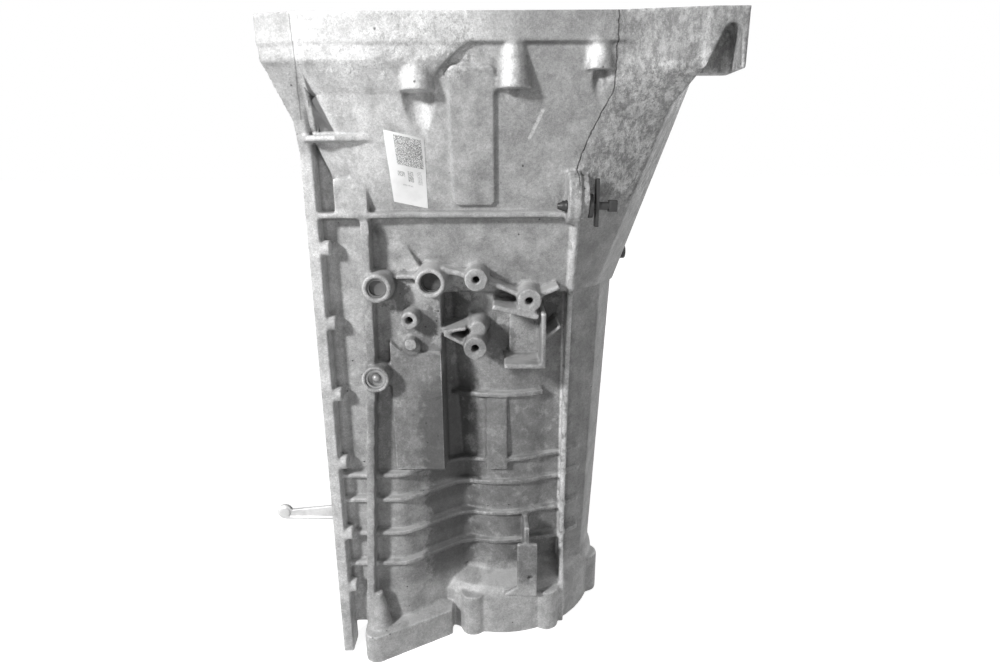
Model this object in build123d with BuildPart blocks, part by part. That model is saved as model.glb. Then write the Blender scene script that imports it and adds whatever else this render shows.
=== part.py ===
"""One-piece die-cast gearbox case with an integral bell housing and its selector parts.

Frame: millimetres. The origin is on the main shaft axis at the rear flange face.
+Z runs along the shaft axis to the bell. The oil pan face looks to -X, and the
near side, with the ports and brackets, looks to -Y.
"""
import os
from math import asin, atan2, cos, degrees, radians, sin, sqrt

from build123d import *

os.makedirs("parts", exist_ok=True)

# Overall sizes
case_length = 700.0
half_width = 200.0
bell_left = 210.0

# Bell housing
flange_plate = 14.0
flange_lip = 2.5
lip_depth = 24.0
band_depth = 38.0
bell_foot_z = 440.0
bell_foot_near = 118.0
bell_wall = 6.0
bell_rim = 9.0
bell_bolt_r = 5.6
bell_bolt_x = (-73.0, 14.0, 90.0)
bell_boss_length = (62.0, 61.0, 46.0)
bell_boss_r = (15.5, 16.0, 14.5)
bell_boss_top_r = (12.0, 11.5, 11.0)
bell_bolt_y = 187.0
scoop_depth = 44.0
ear_x = 192.5
ear_y = 190.0
ear_span_x = 37.0
ear_span_y = 48.0
ear_height = 48.0
ear_bolt_x = 195.0
ear_bolt_y = 203.0
ear_pocket_y = 186.0
ear_web_depth = 90.0
shoulder_depth = 66.0
panel_stand = 4.0

# Barrel and its stepped bore
barrel_rear_r = 96.0
barrel_front_r = 112.0
barrel_foot_z = 78.0
barrel_wall = 8.0
rear_brake_r = 88.0
mid_brake_r = 94.0
front_brake_r = 100.0
pump_r = 106.0
pump_seat = 27.0
rear_wall_z = 34.0
rear_wall = 28.0
mid_step_z = 210.0
front_step_z = 330.0
bush_r = 42.0
bush_wall = 3.0
bush_length = 24.0

# Rear flange
rear_flange_r = 128.5
rear_flange_depth = 52.0
rear_recess_r = 108.0
rear_bolt_circle_r = 122.0
rear_bolts = 8
rear_bolt_r = 4.6
rear_bolt_depth = 30.0
rear_lobe_r = 16.0
rear_first_angle = -17.0

# Oil pan side
pan_face_x = 193.0
pan_flange = 12.0
pan_side = 19.0
box_half = 138.0
box_wall = 8.0
box_slope_x = 69.0
box_slope_y = 47.0
box_corner_x = -115.0
box_corner_r = 26.0
box_step_z = 234.0
box_step_x = -63.0
pan_low_z = 28.0
pan_high_z = 608.0
chamber_low_z = 46.0
chamber_high_z = 590.0
side_pocket_top_z = 436.0
window_z = 268.0
pan_bolt_inset = 8.0
pan_bolt_z = (90.0, 161.5, 252.5, 334.0, 414.0, 493.0)
pan_end_bolt_y = 75.0
pan_bolt_r = 3.4
pan_bolt_depth = 17.0
pan_boss_r = 8.2
pan_boss_length = 21.0
deck_x = -128.0
deck_bolt_y = 62.0
deck_bolt_z = (110.0, 225.0, 325.0, 420.0)
deck_boss_r = 8.0
deck_bolt_r = 2.6
window_half = 22.0

# Stiffening ribs round the case
rib_thickness = 5.5
rib_stand = 9.0
rib_valley_r = 34.0
wall_valley_r = 24.0
rib_z = (232.0, 201.0, 157.0, 116.0)
upper_rib_z = 315.0
eye_rib_z = 526.0
gusset_z = 596.0
ridge_x = 77.0
ridge_width = 6.0
near_rib_stand = 19.0
near_rib_width = 9.0
pad_stand = 6.0
strip_front = 110.0

# Skirt beside the rear flange
skirt_height = 36.0
skirt_wall = 8.0
skirt_lobe_x = -150.0
skirt_lobe_out = 24.0
skirt_lobe_r = 14.0

# How far the bosses and webs of the near side stand out of the chamber wall
boss_stand = 22.0
port_stand = 25.0
web_stand = 12.0

# Ports: x, z, face radius, hole radius
ports = {
    "upper": (-126.0, 453.0, 15.0, 10.2),
    "centre": (-71.0, 458.0, 15.4, 10.7),
    "lower": (-133.0, 354.6, 14.5, 10.6),
}
port_depth = 22.0

# Small bosses: x, z, face radius, hole radius, depth of the wall that they stand on
small_bosses = (
    (-94.4, 418.5, 9.4, 4.0, 130.0),
    (-24.3, 461.1, 12.0, 3.8, 110.0),
    (30.6, 438.8, 12.6, 4.2, 95.0),
    (-26.2, 387.9, 12.4, 4.2, 95.0),
)
small_boss_depth = 24.0

# Clip lug beside the bell foot
lug_x = 66.0
lug_thickness = 12.5
lug_stand = 22.0
lug_z = 543.0
lug_r = 25.0
lug_ring_r = 21.0
lug_ring = 8.0
clip_hole_r = 5.2
clip_flange_r = 11.5
clip_stand = 28.0
clip_z = 535.0

# Tab bracket at the rear flange
tab_front = 132.0
tab_thickness = 6.0
tab_hole_r = 3.2

# Selector shaft and its lever
shaft_x = -158.0
shaft_z = 142.0
shaft_r = 7.0
shaft_clearance = 0.05
shaft_boss_r = 15.0
shaft_boss_stand = 12.0
shaft_seat_depth = 20.0
shaft_end_stand = 40.0
flat_length = 14.0
flat_across = 9.0
seal_r = 11.5
seal_length = 7.0
lever_y = -75.0
lever_thickness = 5.0
lever_rail = 8.0
lever_reach = 131.0
lever_low = 8.5
lever_high = 9.5
lever_hub_r = 13.0
lever_hub_length = 24.0
roll_pin_r = 2.5
press_clearance = 0.0
fit_gap = 0.3

# Small fitted pieces
plug_wall = 2.0
plug_length = 7.0
plug_inset = (3.0, 9.0)
pickup_r = 5.0
vent_z = 468.0
vent_seat_x = 148.0
vent_plug = 14.0
vent_r = 4.0
vent_cap_r = 8.5
vent_cap_length = 8.0
label_thickness = 0.35
label_corners = ((-108.1, -83.9), (-70.5, -92.4), (-71.7, -162.0), (-105.1, -154.5))
connector_x = -125.0
connector_z = 300.0
connector_r = 21.0

# Places worked out from the sizes
plate_z = case_length - flange_plate
band_z = case_length - band_depth
bell_boss_end_z = [case_length - length for length in bell_boss_length]
pan_half = box_half + pan_side
pan_bolt_y = pan_half - pan_bolt_inset
near_rib_front = box_half + near_rib_stand
pad_front = box_half + pad_stand
boss_front = box_half + boss_stand
port_front = box_half + port_stand
bracket_front = port_front
web_front = box_half + web_stand
skirt_lobe_y = box_half + skirt_lobe_out
lug_y = box_half + lug_stand
clip_y = box_half + clip_stand
shaft_boss_y = box_half + shaft_boss_stand
shaft_seat_y = box_half - shaft_seat_depth
shaft_end_y = box_half + shaft_end_stand
bell_lean = atan2(half_width - bell_foot_near, plate_z - bell_foot_z)
bell_face = Plane(
    origin=(0, -half_width, plate_z),
    x_dir=(1, 0, 0),
    z_dir=(0, -cos(bell_lean), -sin(bell_lean)),
)


def mirrored(points):
    """The points of a near-side outline, closed through their mirror image across Y = 0."""
    return points + [(x, -y) for x, y in reversed(points)]


def outline(points):
    """A closed face from the points of the near half."""
    Polygon(*mirrored(points), align=None)


def bell_top_points():
    """Corners of the bell at its flange, from the pan side round the near side."""
    return [
        (-bell_left, -(half_width - 10)),
        (-bell_left + 38, -half_width),
        (100, -half_width),
        (176, -(half_width - 3)),
        (206, -110),
    ]


def bell_foot_points():
    """Corners of the bell where it meets the barrel, in the same order."""
    return [
        (-125, -(bell_foot_near - 23)),
        (-107, -bell_foot_near),
        (70, -bell_foot_near),
        (110, -84),
        (137, -40),
    ]


def bell_points(z):
    """Corners of the bell at a height between its foot and its flange."""
    share = (z - bell_foot_z) / (plate_z - bell_foot_z)
    pairs = zip(bell_foot_points(), bell_top_points())
    return [(a + (c - a) * share, b + (d - b) * share) for (a, b), (c, d) in pairs]


def box_points(half, side_x):
    """Section of the valve chamber: a flat wall, then a slope down to the barrel."""
    return [
        (-pan_face_x + pan_flange / 2, -half),
        (side_x, -half),
        (side_x + box_slope_x, -half + box_slope_y),
    ]


def box_section(half):
    """The section of the valve chamber with its long edges rounded."""
    outline(box_points(half, box_corner_x))
    corners = [v for v in vertices() if abs(v.X - box_corner_x) < 1]
    fillet(corners, radius=box_corner_r)


def bar(x0, z0, x1, z1, width):
    """A straight web between two points of the sketch, drawn from left to right."""
    length = sqrt((x1 - x0) ** 2 + (z1 - z0) ** 2)
    with Locations(((x0 + x1) / 2, (z0 + z1) / 2)):
        Rectangle(length, width, rotation=degrees(asin((z1 - z0) / length)))


def near_boss(x, z, root, front, foot_r, face_r):
    """A drafted round boss that stands out of the near wall."""
    with Locations((x, -root, z)):
        Cone(
            foot_r,
            face_r,
            front - root,
            rotation=(90, 0, 0),
            align=(Align.CENTER, Align.CENTER, Align.MIN),
        )


def near_drill(x, z, front, radius, depth):
    """A round hole into the near wall."""
    with Locations((x, -front - 1, z)):
        Cylinder(
            radius,
            depth + 1,
            rotation=(90, 0, 0),
            align=(Align.CENTER, Align.CENTER, Align.MAX),
        )


def barrel_r(z):
    """Radius of the drafted barrel at a height."""
    share = (z - barrel_foot_z) / (bell_foot_z - barrel_foot_z)
    return barrel_rear_r + (barrel_front_r - barrel_rear_r) * share


# Outer form of the bell, a drafted loft from the flange down to the barrel
with BuildPart() as bell_outer:
    with BuildSketch(Plane.XY.offset(bell_foot_z)):
        outline(bell_foot_points())
    with BuildSketch(Plane.XY.offset(plate_z)):
        outline(bell_top_points())
    loft(ruled=True)
    slopes = bell_outer.edges().filter_by(lambda edge: abs(edge.tangent_at(0.5).Z) > 0.5)
    fillet(slopes, radius=9)

# Hollow of the bell
with BuildPart() as bell_hollow:
    with BuildSketch(Plane.XY.offset(bell_foot_z + 12)):
        outline(bell_foot_points())
        offset(amount=-bell_wall, kind=Kind.INTERSECTION)
    with BuildSketch(Plane.XY.offset(case_length + 1)):
        outline(bell_top_points())
        offset(amount=-bell_rim, kind=Kind.INTERSECTION)
    loft(ruled=True)

# Deep band of the rim on the pan side of the near and far faces, and the shoulder under it
with BuildPart() as rim_band:
    with BuildSketch(Plane.XY.offset(band_z)):
        outline(bell_top_points())
        offset(amount=1, kind=Kind.INTERSECTION)
    extrude(amount=band_depth - flange_plate)
    with BuildSketch(Plane.XY.offset(case_length - shoulder_depth)):
        outline(bell_points(case_length - shoulder_depth))
        offset(amount=-0.6, kind=Kind.INTERSECTION)
    with BuildSketch(Plane.XY.offset(band_z)):
        outline(bell_top_points())
        offset(amount=0.6, kind=Kind.INTERSECTION)
    loft(ruled=True)
    with BuildSketch(Plane.XZ):
        with BuildLine():
            Polyline(
                (-bell_left - 5, plate_z + 1),
                (-bell_left - 5, case_length - shoulder_depth - 1),
                (-78, case_length - shoulder_depth - 1),
                (-34, plate_z - 15),
                (-8, plate_z - 2),
                (-8, plate_z + 1),
                close=True,
            )
        make_face()
    extrude(amount=half_width + 20, both=True, mode=Mode.INTERSECT)

# Sloped corners from the rim down to the ends of the pan flange
with BuildPart() as rim_corners:
    corner_foot = [(-pan_face_x, pan_half - 0.5), (-pan_face_x + 3, pan_half)]
    corner_foot += [(-pan_face_x + pan_flange, pan_half), (-pan_face_x + pan_flange, 128)]
    corner_head = [(-bell_left - 2, 189.5), (-bell_left + 33, 201), (-bell_left + 45, 195)]
    corner_head += [(-bell_left + 30, 150)]
    for side in (-1, 1):
        with BuildSketch(Plane.XY.offset(band_z - 57)):
            Polygon(*[(x, side * y) for x, y in corner_foot], align=None)
        with BuildSketch(Plane.XY.offset(band_z + 3)):
            Polygon(*[(x, side * y) for x, y in corner_head], align=None)
        loft(ruled=True)

# Webs that carry the two ears, flush with the face of the bell at their foot
ear_front = ear_y + ear_span_y / 2
ear_side = ear_x + ear_span_x / 2
ear_web_sections = (
    (ear_web_depth, ((93, 173.5), (146, 161.5), (150, 160.5), (140, 145), (93, 145))),
    (
        ear_height - 2,
        ((99, 193), (171, ear_front - 4.5), (176, ear_front - 4.5), (180, 170), (99, 165)),
    ),
    (
        0,
        (
            (104, half_width + flange_lip),
            (172, ear_front - 1.5),
            (ear_side, ear_front + 0.5),
            (ear_side, 170),
            (104, 170),
        ),
    ),
)
with BuildPart() as ear_webs:
    for side in (-1, 1):
        for depth, corners in ear_web_sections:
            with BuildSketch(Plane.XY.offset(case_length - depth)):
                Polygon(*[(x, side * y) for x, y in corners], align=None)
        loft(ruled=True)

# Top side of the case, which stands out beyond the barrel
with BuildPart() as top_side:
    with BuildSketch(Plane.XY.offset(rear_flange_depth - 20)):
        outline([(20, -88), (66, -76), (106, -52), (120, -22)])
    with BuildSketch(Plane.XY.offset(bell_foot_z)):
        outline([(20, -104), (78, -92), (118, -66), (137, -28)])
    loft(ruled=True)

# Webs that stand out of the near wall between the bosses
with BuildPart() as near_webs:
    with BuildSketch(Plane.XZ.offset(web_front)):
        bar(-108, 463, -80, 463, 5)
        bar(-60, 470, -34, 464, 6)
        bar(-14, 458, 20, 443, 5)
        bar(38, 441, 62, 451, 5)
        bar(44, 393, 64, 409, 4)
        bar(-60, 403, -36, 407, 4)
        bar(-60, 401, -36, 388, 4)
    extrude(amount=-(web_front - 95))
    # open bracket frame beside the right-hand bosses
    with BuildSketch(Plane.XZ.offset(bracket_front)):
        bar(-8, 433, 40, 422, 6)
        bar(4, 368.5, 48, 368.5, 5)
        with Locations((45.5, 397)):
            Rectangle(5, 60)
    extrude(amount=-(bracket_front - 95))
    with BuildSketch(Plane.XZ.offset(118)):
        with Locations((28, 394)):
            Rectangle(36, 50)
    extrude(amount=-23)

# Long upright rib, pads and raised strip of the near side
with BuildPart() as near_relief:
    with BuildSketch(Plane.XZ.offset(near_rib_front)):
        bar(-137, 378, -135, 575, near_rib_width)
        bar(-159, 30, -137, 384, near_rib_width)
        with Locations((-149, 545)):
            RectangleRounded(29, 36, radius=3)
    extrude(amount=-(near_rib_front - 120))
    with BuildSketch(Plane.XZ.offset(pad_front)):
        Polygon((-119, 240), (-64, 240), (-64, 378), (-104, 378), (-119, 392), align=None)
    extrude(amount=-(pad_front - 120))
    with BuildSketch(Plane.XZ.offset(strip_front)):
        with Locations((-4.5, 269)):
            Rectangle(25, 97)
    extrude(amount=-(strip_front - 85))
    with BuildSketch(bell_face.offset(-5)):
        with Locations((-25, -93)):
            RectangleRounded(42, 130, radius=6)
    extrude(amount=panel_stand + 5)

# Solid outside of the case before it is hollowed
with BuildPart() as case_body:
    add(bell_outer.part)
    add(rim_band.part)
    add(rim_corners.part)
    with BuildSketch(Plane.XY.offset(case_length - lip_depth)):
        outline(bell_top_points())
        offset(amount=flange_lip, kind=Kind.ARC)
    extrude(amount=lip_depth)
    with BuildSketch(Plane.XY.offset(case_length - ear_height)):
        with Locations((ear_x, -ear_y), (ear_x, ear_y)):
            RectangleRounded(ear_span_x, ear_span_y, radius=5)
    extrude(amount=ear_height)
    with BuildSketch(Plane.XZ):
        with BuildLine():
            Polyline(
                (0, 0),
                (rear_flange_r, 0),
                (rear_flange_r, rear_flange_depth),
                (rear_flange_r - 8, rear_flange_depth + 10),
                (barrel_rear_r + 3, barrel_foot_z - 6),
                (barrel_rear_r, barrel_foot_z),
                (barrel_front_r, bell_foot_z),
                (barrel_front_r, bell_foot_z + 20),
                (0, bell_foot_z + 20),
                close=True,
            )
        make_face()
    revolve(axis=Axis.Z)
    add(top_side.part)
    add(ear_webs.part)
    # valve chamber
    with BuildSketch(Plane.XY.offset(pan_low_z)):
        box_section(box_half)
    extrude(amount=pan_high_z - pan_low_z)
    # soft valley between the chamber wall and the barrel
    with BuildSketch(Plane.XY.offset(barrel_foot_z)):
        box_section(box_half - 0.4)
        Circle(barrel_rear_r - 0.4)
        offset(amount=wall_valley_r, kind=Kind.ARC)
        offset(amount=-wall_valley_r, kind=Kind.ARC)
    extrude(amount=rib_z[0] - barrel_foot_z)
    with BuildSketch(Plane.XZ):
        Polygon(
            (-pan_face_x + 6, box_step_z),
            (box_step_x, box_step_z),
            (box_step_x, 452),
            (-83, 470),
            (-107, 512),
            (-130, 548),
            (-pan_face_x + 6, 548),
            align=None,
        )
    extrude(amount=box_half, both=True)
    # skirt beside the rear flange
    with BuildSketch(Plane.XY):
        outline([
            (skirt_lobe_x - skirt_lobe_r, -skirt_lobe_y),
            (skirt_lobe_x + 6.6, -skirt_lobe_y - 12.3),
            (-62, -rear_flange_r - 1.5),
        ])
        with Locations((skirt_lobe_x, -skirt_lobe_y), (skirt_lobe_x, skirt_lobe_y)):
            Circle(skirt_lobe_r)
        with PolarLocations(rear_bolt_circle_r, rear_bolts, start_angle=rear_first_angle):
            Circle(rear_lobe_r)
    extrude(amount=skirt_height)
    with BuildSketch(Plane.XY.offset(skirt_height - 5)):
        with PolarLocations(rear_bolt_circle_r, rear_bolts, start_angle=rear_first_angle):
            Circle(rear_lobe_r)
    extrude(amount=rear_flange_depth - skirt_height + 8)
    with Locations((skirt_lobe_x + 3, -skirt_lobe_y + 10, skirt_height - 2)):
        Cone(14, 5, 48, align=(Align.CENTER, Align.CENTER, Align.MIN))
    with Locations((skirt_lobe_x + 3, skirt_lobe_y - 10, skirt_height - 2)):
        Cone(14, 5, 48, align=(Align.CENTER, Align.CENTER, Align.MIN))
    # pan flange with its legs and the strips that run up to the rim
    with BuildSketch(Plane.YZ.offset(-pan_face_x)):
        with Locations((0, (pan_low_z + pan_high_z) / 2)):
            Rectangle(2 * pan_half, pan_high_z - pan_low_z)
        with Locations((-pan_half + 12.5, pan_low_z / 2 + 5), (pan_half - 12.5, pan_low_z / 2 + 5)):
            Rectangle(25, pan_low_z + 10)
        Polygon((-188, 664), (-pan_half, 585), (-120, 585), (-150, 664), align=None)
        Polygon((188, 664), (pan_half, 585), (120, 585), (150, 664), align=None)
    extrude(amount=pan_flange)
    # upright flash rib from the clip lug to the rear flange
    with BuildSketch(Plane.YZ.offset(ridge_x - ridge_width / 2)):
        ridge = [(-160, 560), (-154, 530), (-138, 483), (-118, 431), (-99, 300), (-92, 100), (-108, 58)]
        ridge += [(-108, 0)]
        Polygon(*ridge, *[(-y, z) for y, z in reversed(ridge)], align=None)
    extrude(amount=ridge_width)
    add(near_webs.part)
    add(near_relief.part)

# Flat ribs round the case
with BuildPart() as ribs:
    for z in rib_z:
        with BuildSketch(Plane.XY.offset(z - rib_thickness / 2)):
            box_section(box_half)
            offset(amount=rib_stand, kind=Kind.ARC)
            Circle(barrel_r(z) + rib_stand - 2)
            outline([(20, -102), (74, -90), (100, -70)])
            offset(amount=rib_valley_r, kind=Kind.ARC)
            offset(amount=-rib_valley_r, kind=Kind.ARC)
        extrude(amount=rib_thickness)
    with BuildSketch(Plane.XY.offset(upper_rib_z)):
        Circle(barrel_r(upper_rib_z) + rib_stand)
        with Locations((150, 0)):
            Rectangle(200, 400, mode=Mode.SUBTRACT)
    extrude(amount=rib_thickness)
    with BuildSketch(Plane.XY.offset(eye_rib_z - rib_thickness / 2)):
        rib_line = [(-pan_face_x + 2, 0), (-140, 2), (0, 0), (lug_x + 1, 2), (lug_x + 14, -7)]
        outline([(x, -(pan_half + out)) for x, out in rib_line])
    extrude(amount=rib_thickness)
    with BuildSketch(Plane.XY.offset(gusset_z)):
        gusset_line = [(-pan_face_x + 4, 0), (-180, 21), (-152, 24), (-112, 13)]
        outline([(x, -(pan_half + out)) for x, out in gusset_line])
    extrude(amount=rib_thickness)

# Everything that is hollow inside the case
with BuildPart() as chamber:
    with BuildSketch(Plane.XY.offset(chamber_low_z)):
        outline([(-pan_face_x - 10, -box_half + box_wall), (-119, -box_half + box_wall), (-66, -96)])
    extrude(amount=chamber_high_z - chamber_low_z)
    with BuildSketch(Plane.XY.offset(box_step_z + box_wall)):
        with Locations(((-pan_face_x - 10 + box_step_x - box_wall) / 2, 0)):
            Rectangle(box_step_x - box_wall + pan_face_x + 10, 2 * (box_half - box_wall))
    extrude(amount=side_pocket_top_z - box_step_z - box_wall)
    with BuildSketch(Plane.XZ):
        Polygon(
            (0, 0),
            (rear_brake_r + barrel_wall, 0),
            (rear_brake_r + barrel_wall, mid_step_z + 4),
            (mid_brake_r + barrel_wall, mid_step_z + 4),
            (mid_brake_r + barrel_wall, front_step_z + 4),
            (front_brake_r + barrel_wall, front_step_z + 4),
            (front_brake_r + barrel_wall, bell_foot_z + 4 - pump_seat),
            (pump_r + barrel_wall, bell_foot_z + 4 - pump_seat),
            (pump_r + barrel_wall, bell_foot_z + 20),
            (0, bell_foot_z + 20),
            align=None,
        )
    revolve(axis=Axis.Z, mode=Mode.SUBTRACT)
    add(bell_outer.part, mode=Mode.SUBTRACT)

with BuildPart() as bores:
    with BuildSketch(Plane.XZ):
        with BuildLine():
            Polyline(
                (0, -1),
                (rear_recess_r, -1),
                (rear_recess_r, rear_wall_z),
                (bush_r + bush_wall, rear_wall_z),
                (bush_r + bush_wall, rear_wall_z + rear_wall),
                (rear_brake_r, rear_wall_z + rear_wall),
                (rear_brake_r, mid_step_z),
                (mid_brake_r, mid_step_z),
                (mid_brake_r, front_step_z),
                (front_brake_r, front_step_z),
                (front_brake_r, bell_foot_z + 12 - pump_seat),
                (pump_r, bell_foot_z + 12 - pump_seat),
                (pump_r, bell_foot_z + 13),
                (0, bell_foot_z + 13),
                close=True,
            )
        make_face()
    revolve(axis=Axis.Z)
    with Locations((-95, 0, window_z)):
        Box(60, 2 * window_half, 2 * window_half)

with BuildPart() as skirt_pocket:
    with BuildSketch(Plane.XY.offset(-1)):
        outline([
            (skirt_lobe_x - 6, -skirt_lobe_y + 10),
            (skirt_lobe_x + 12, -skirt_lobe_y + 4),
            (-66, -118),
        ])
        Circle(rear_flange_r + 4, mode=Mode.SUBTRACT)
        with PolarLocations(rear_bolt_circle_r, rear_bolts, start_angle=rear_first_angle):
            Circle(rear_lobe_r + 2, mode=Mode.SUBTRACT)
    extrude(amount=skirt_height - skirt_wall + 1)

# Bolt bosses and machined bosses, solid
with BuildPart() as bosses:
    for x, end_z, radius, top_r in zip(bell_bolt_x, bell_boss_end_z, bell_boss_r, bell_boss_top_r):
        with Locations((x, -bell_bolt_y, end_z), (x, bell_bolt_y, end_z)):
            Cone(radius, top_r, case_length - end_z, align=(Align.CENTER, Align.CENTER, Align.MIN))
    for name, (x, z, face_r, hole_r) in ports.items():
        near_boss(x, z, 125, port_front, face_r + 4, face_r)
    for x, z, face_r, hole_r, root in small_bosses:
        near_boss(x, z, root, boss_front, face_r + 2, face_r)
    near_boss(-24, 404, 95, boss_front - 17, 15, 9)
    near_boss(-95.2, 386, 130, 147, 10, 9.6)
    near_boss(-95.4, 390, 140, 152, 7.2, 6.7)
    for z in pan_bolt_z:
        with Locations((-pan_face_x, -pan_bolt_y, z), (-pan_face_x, pan_bolt_y, z)):
            Cylinder(
                pan_boss_r,
                pan_boss_length,
                rotation=(0, 90, 0),
                align=(Align.CENTER, Align.CENTER, Align.MIN),
            )
    for z in deck_bolt_z:
        with Locations((deck_x, -deck_bolt_y, z), (deck_x, deck_bolt_y, z)):
            Cylinder(
                deck_boss_r, 60, rotation=(0, 90, 0), align=(Align.CENTER, Align.CENTER, Align.MIN)
            )
    # clip lug with its faced ring
    with Locations((lug_x, -lug_y, lug_z)):
        Cylinder(
            lug_r, lug_thickness, rotation=(0, 90, 0), align=(Align.CENTER, Align.CENTER, Align.MIN)
        )
        Cylinder(
            lug_ring_r,
            lug_thickness + lug_ring,
            rotation=(0, 90, 0),
            align=(Align.CENTER, Align.CENTER, Align.MIN),
        )
    with Locations((lug_x + lug_thickness / 2, -lug_y + 25, lug_z - 4)):
        Box(lug_thickness, 40, 44)
    # selector shaft seats and the connector collar
    with Locations((shaft_x, -box_half + 2, shaft_z)):
        Cylinder(
            shaft_boss_r,
            box_half - 2 - shaft_seat_y,
            rotation=(-90, 0, 0),
            align=(Align.CENTER, Align.CENTER, Align.MIN),
        )
    with Locations((shaft_x, shaft_seat_y, shaft_z)):
        Cylinder(
            shaft_boss_r,
            shaft_boss_y - shaft_seat_y,
            rotation=(-90, 0, 0),
            align=(Align.CENTER, Align.CENTER, Align.MIN),
        )
    with Locations((connector_x, box_half - box_wall, connector_z)):
        Cylinder(
            connector_r + 7,
            box_wall + 8,
            rotation=(-90, 0, 0),
            align=(Align.CENTER, Align.CENTER, Align.MIN),
        )
    with Locations((vent_seat_x, 0, vent_z)):
        Cylinder(11, 14, rotation=(0, 90, 0), align=(Align.CENTER, Align.CENTER, Align.MAX))
    # tab bracket over the rear flange
    with BuildSketch(Plane.XZ.offset(tab_front)):
        with Locations((31.8, 94)):
            Rectangle(24.5, 74)
        Polygon((2, 58), (20, 58), (20, 70), align=None)
    extrude(amount=-tab_thickness)
    with Locations((31, -tab_front + 22, 106)):
        Box(6, 40, 94)

# Holes of the case
with BuildPart() as holes:
    with Locations(*[(x, y, case_length) for x in bell_bolt_x for y in (-bell_bolt_y, bell_bolt_y)]):
        Cylinder(bell_bolt_r, 200, align=(Align.CENTER, Align.CENTER, Align.CENTER))
    with Locations((bell_bolt_x[0], -bell_bolt_y, bell_boss_end_z[0])):
        Cylinder(bell_boss_r[0], scoop_depth, align=(Align.CENTER, Align.CENTER, Align.MAX))
    with Locations((ear_bolt_x, -ear_bolt_y, case_length), (ear_bolt_x, ear_bolt_y, case_length)):
        Cylinder(bell_bolt_r, 60)
    for side in (-1, 1):
        with BuildSketch(Plane.XZ.offset(-side * ear_pocket_y)):
            Polygon((170, 640), (190.5, 684.5), (196, 688), (201.5, 686), (204, 681), (207, 640), align=None)
        extrude(amount=-side * ear_span_y)
    for name, (x, z, face_r, hole_r) in ports.items():
        near_drill(x, z, port_front, hole_r, port_depth)
    for x, z, face_r, hole_r, root in small_bosses:
        near_drill(x, z, boss_front, hole_r, small_boss_depth)
    near_drill(35.5, 84, tab_front, tab_hole_r, tab_thickness + 2)
    with Locations((lug_x - 1, -clip_y, clip_z)):
        Cylinder(
            clip_hole_r,
            lug_thickness + lug_ring + 2,
            rotation=(0, 90, 0),
            align=(Align.CENTER, Align.CENTER, Align.MIN),
        )
    with Locations(Location((-192, -184, 661), (0, 12, 15))):
        Box(18, 10, 3)
    pan_holes = [(-pan_face_x, side * pan_bolt_y, z) for z in pan_bolt_z for side in (-1, 1)]
    pan_holes += [(-pan_face_x, side * pan_end_bolt_y, z)
                  for z in ((pan_low_z + chamber_low_z) / 2, (pan_high_z + chamber_high_z) / 2)
                  for side in (-1, 1)]
    with Locations(*pan_holes):
        Cylinder(
            pan_bolt_r,
            2 * pan_bolt_depth,
            rotation=(0, 90, 0),
        )
    with Locations(*[(deck_x, y, z) for z in deck_bolt_z for y in (-deck_bolt_y, deck_bolt_y)]):
        Cylinder(deck_bolt_r, 30, rotation=(0, 90, 0))
    with PolarLocations(rear_bolt_circle_r, rear_bolts, start_angle=rear_first_angle):
        Cylinder(rear_bolt_r, 2 * rear_bolt_depth)
    with Locations((shaft_x, -box_half + box_wall, shaft_z)):
        Cylinder(
            shaft_r + shaft_clearance,
            300,
            rotation=(-90, 0, 0),
            align=(Align.CENTER, Align.CENTER, Align.MIN),
        )
    with Locations((shaft_x, shaft_boss_y + 1, shaft_z)):
        Cylinder(
            seal_r,
            seal_length + 1,
            rotation=(-90, 0, 0),
            align=(Align.CENTER, Align.CENTER, Align.MAX),
        )
    with Locations((connector_x, box_half, connector_z)):
        Cylinder(connector_r, 40, rotation=(90, 0, 0))
    with Locations((vent_seat_x + 1, 0, vent_z)):
        Cylinder(vent_r, vent_plug + 12, rotation=(0, 90, 0), align=(Align.CENTER, Align.CENTER, Align.MAX))

# The casting
with BuildPart() as gearbox_case:
    add(case_body.part)
    add(ribs.part)
    add(chamber.part, mode=Mode.SUBTRACT)
    add(bosses.part)
    add(bell_hollow.part, mode=Mode.SUBTRACT)
    add(bores.part, mode=Mode.SUBTRACT)
    add(skirt_pocket.part, mode=Mode.SUBTRACT)
    add(holes.part, mode=Mode.SUBTRACT)

# Bush in the rear wall
with BuildPart() as rear_bush:
    with Locations((0, 0, rear_wall_z + 2)):
        Cylinder(
            bush_r + bush_wall - press_clearance,
            bush_length,
            align=(Align.CENTER, Align.CENTER, Align.MIN),
        )
        Cylinder(
            bush_r,
            bush_length,
            align=(Align.CENTER, Align.CENTER, Align.MIN),
            mode=Mode.SUBTRACT,
        )
    rims = rear_bush.edges().filter_by(GeomType.CIRCLE)
    rims = rims.filter_by(lambda edge: edge.radius > bush_r + 1)
    chamfer(rims, length=0.6)

# Selector shaft across the valve chamber, with flats at its driven end
with BuildPart() as selector_shaft:
    with Locations((shaft_x, -box_half + box_wall + 1, shaft_z)):
        Cylinder(
            shaft_r,
            shaft_end_y + box_half - box_wall - 1,
            rotation=(-90, 0, 0),
            align=(Align.CENTER, Align.CENTER, Align.MIN),
        )
    shaft_ends = selector_shaft.edges().filter_by(GeomType.CIRCLE)
    chamfer(shaft_ends, length=1)
    with BuildSketch(Plane.XZ.offset(-shaft_end_y + flat_length)):
        with Locations((shaft_x, shaft_z)):
            Rectangle(4 * shaft_r, 4 * shaft_r)
            Rectangle(4 * shaft_r, flat_across, mode=Mode.SUBTRACT)
    extrude(amount=-flat_length - 1, mode=Mode.SUBTRACT)
    with Locations((shaft_x, lever_y, shaft_z)):
        Cylinder(roll_pin_r, 4 * shaft_r, mode=Mode.SUBTRACT)

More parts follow.
